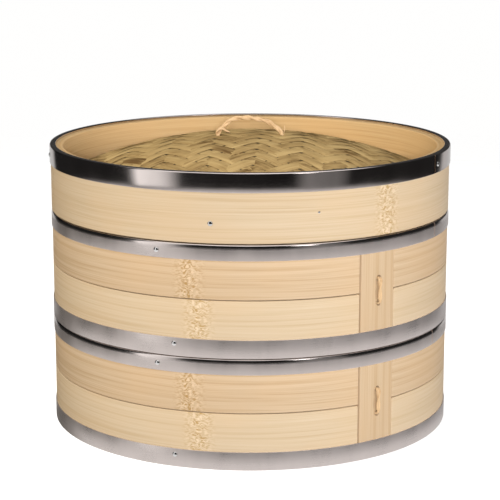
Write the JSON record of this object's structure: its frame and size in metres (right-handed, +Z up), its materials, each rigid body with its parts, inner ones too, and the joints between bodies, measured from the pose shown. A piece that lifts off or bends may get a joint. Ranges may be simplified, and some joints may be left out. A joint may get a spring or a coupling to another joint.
{
  "type": "bamboo steamer basket",
  "caption": "Round stacking bamboo steamer with steel-edged walls, slatted floors, stitched joint strips and a domed woven lid with a rattan handle.",
  "frame": {"origin": "on the common vertical axis, on the plane that the lower tier stands on", "axes": "+Z up along the stacking axis; -Y is the front, with the stitched joint strips 37 degrees round to the right of it; +X to the right"},
  "size_m": [0.3009, 0.3008, 0.2283],
  "materials": {
    "bamboo_band": "smooth planed bamboo, pale straw, fine grain",
    "bamboo_inside": "smooth planed bamboo, golden",
    "bamboo_slats": "split bamboo, alternating light and dark",
    "rattan": "twisted rattan",
    "woven_bamboo": "split bamboo weave, olive brown",
    "leaf": "dry leaf lining between the weaves",
    "steel": "bright rolled stainless strip",
    "nail_steel": "bright domed heads"
  },
  "bodies": {
    "lower_tier": {"lower_inner_hoop": "bamboo_inside", "lower_middle_hoop": "bamboo_inside", "lower_backing_hoop": "bamboo_inside", "lower_upper_band": "bamboo_band", "lower_lower_band": "bamboo_band", "lower_joint_strip": "bamboo_band", "lower_rattan_stitch": "rattan", "lower_steel_collar": "steel", "lower_steel_base_band": "steel", "lower_collar_nails": "nail_steel", "lower_base_nails": "nail_steel", "lower_hoop_nails": "nail_steel", "lower_floor_ring": "bamboo_inside", "lower_floor_crossbars": "bamboo_inside", "lower_floor_slats": "bamboo_slats", "lower_floor_nails": "nail_steel"},
    "upper_tier": {"upper_inner_hoop": "bamboo_inside", "upper_middle_hoop": "bamboo_inside", "upper_backing_hoop": "bamboo_inside", "upper_upper_band": "bamboo_band", "upper_lower_band": "bamboo_band", "upper_joint_strip": "bamboo_band", "upper_rattan_stitch": "rattan", "upper_steel_collar": "steel", "upper_steel_base_band": "steel", "upper_collar_nails": "nail_steel", "upper_base_nails": "nail_steel", "upper_hoop_nails": "nail_steel", "upper_floor_ring": "bamboo_inside", "upper_floor_crossbars": "bamboo_inside", "upper_floor_slats": "bamboo_slats", "upper_floor_nails": "nail_steel"},
    "lid": {"lid_outer_hoop": "bamboo_band", "lid_inner_hoop": "bamboo_inside", "lid_upper_ring": "bamboo_inside", "lid_lower_ring": "bamboo_inside", "lid_steel_band": "steel", "lid_outer_weave": "woven_bamboo", "lid_leaf_layer": "leaf", "lid_inner_weave": "woven_bamboo", "lid_wall_nails": "nail_steel", "lid_band_rivets": "nail_steel"},
    "handle": {"lid_handle": "rattan"}
  },
  "joints": [
    {"name": "upper_tier_lift", "type": "slide", "parent": "lower_tier", "child": "upper_tier", "axis": [0, 0, 1], "range_m": [0, 0.038]},
    {"name": "lid_lift", "type": "slide", "parent": "upper_tier", "child": "lid", "axis": [0, 0, 1], "range_m": [0, 0.034]},
    {"name": "handle_swing", "type": "hinge", "parent": "lid", "child": "handle", "pos_m": [0, 0, 0.213], "axis": [1, 0, 0], "range_deg": [-40, 40]}
  ]
}
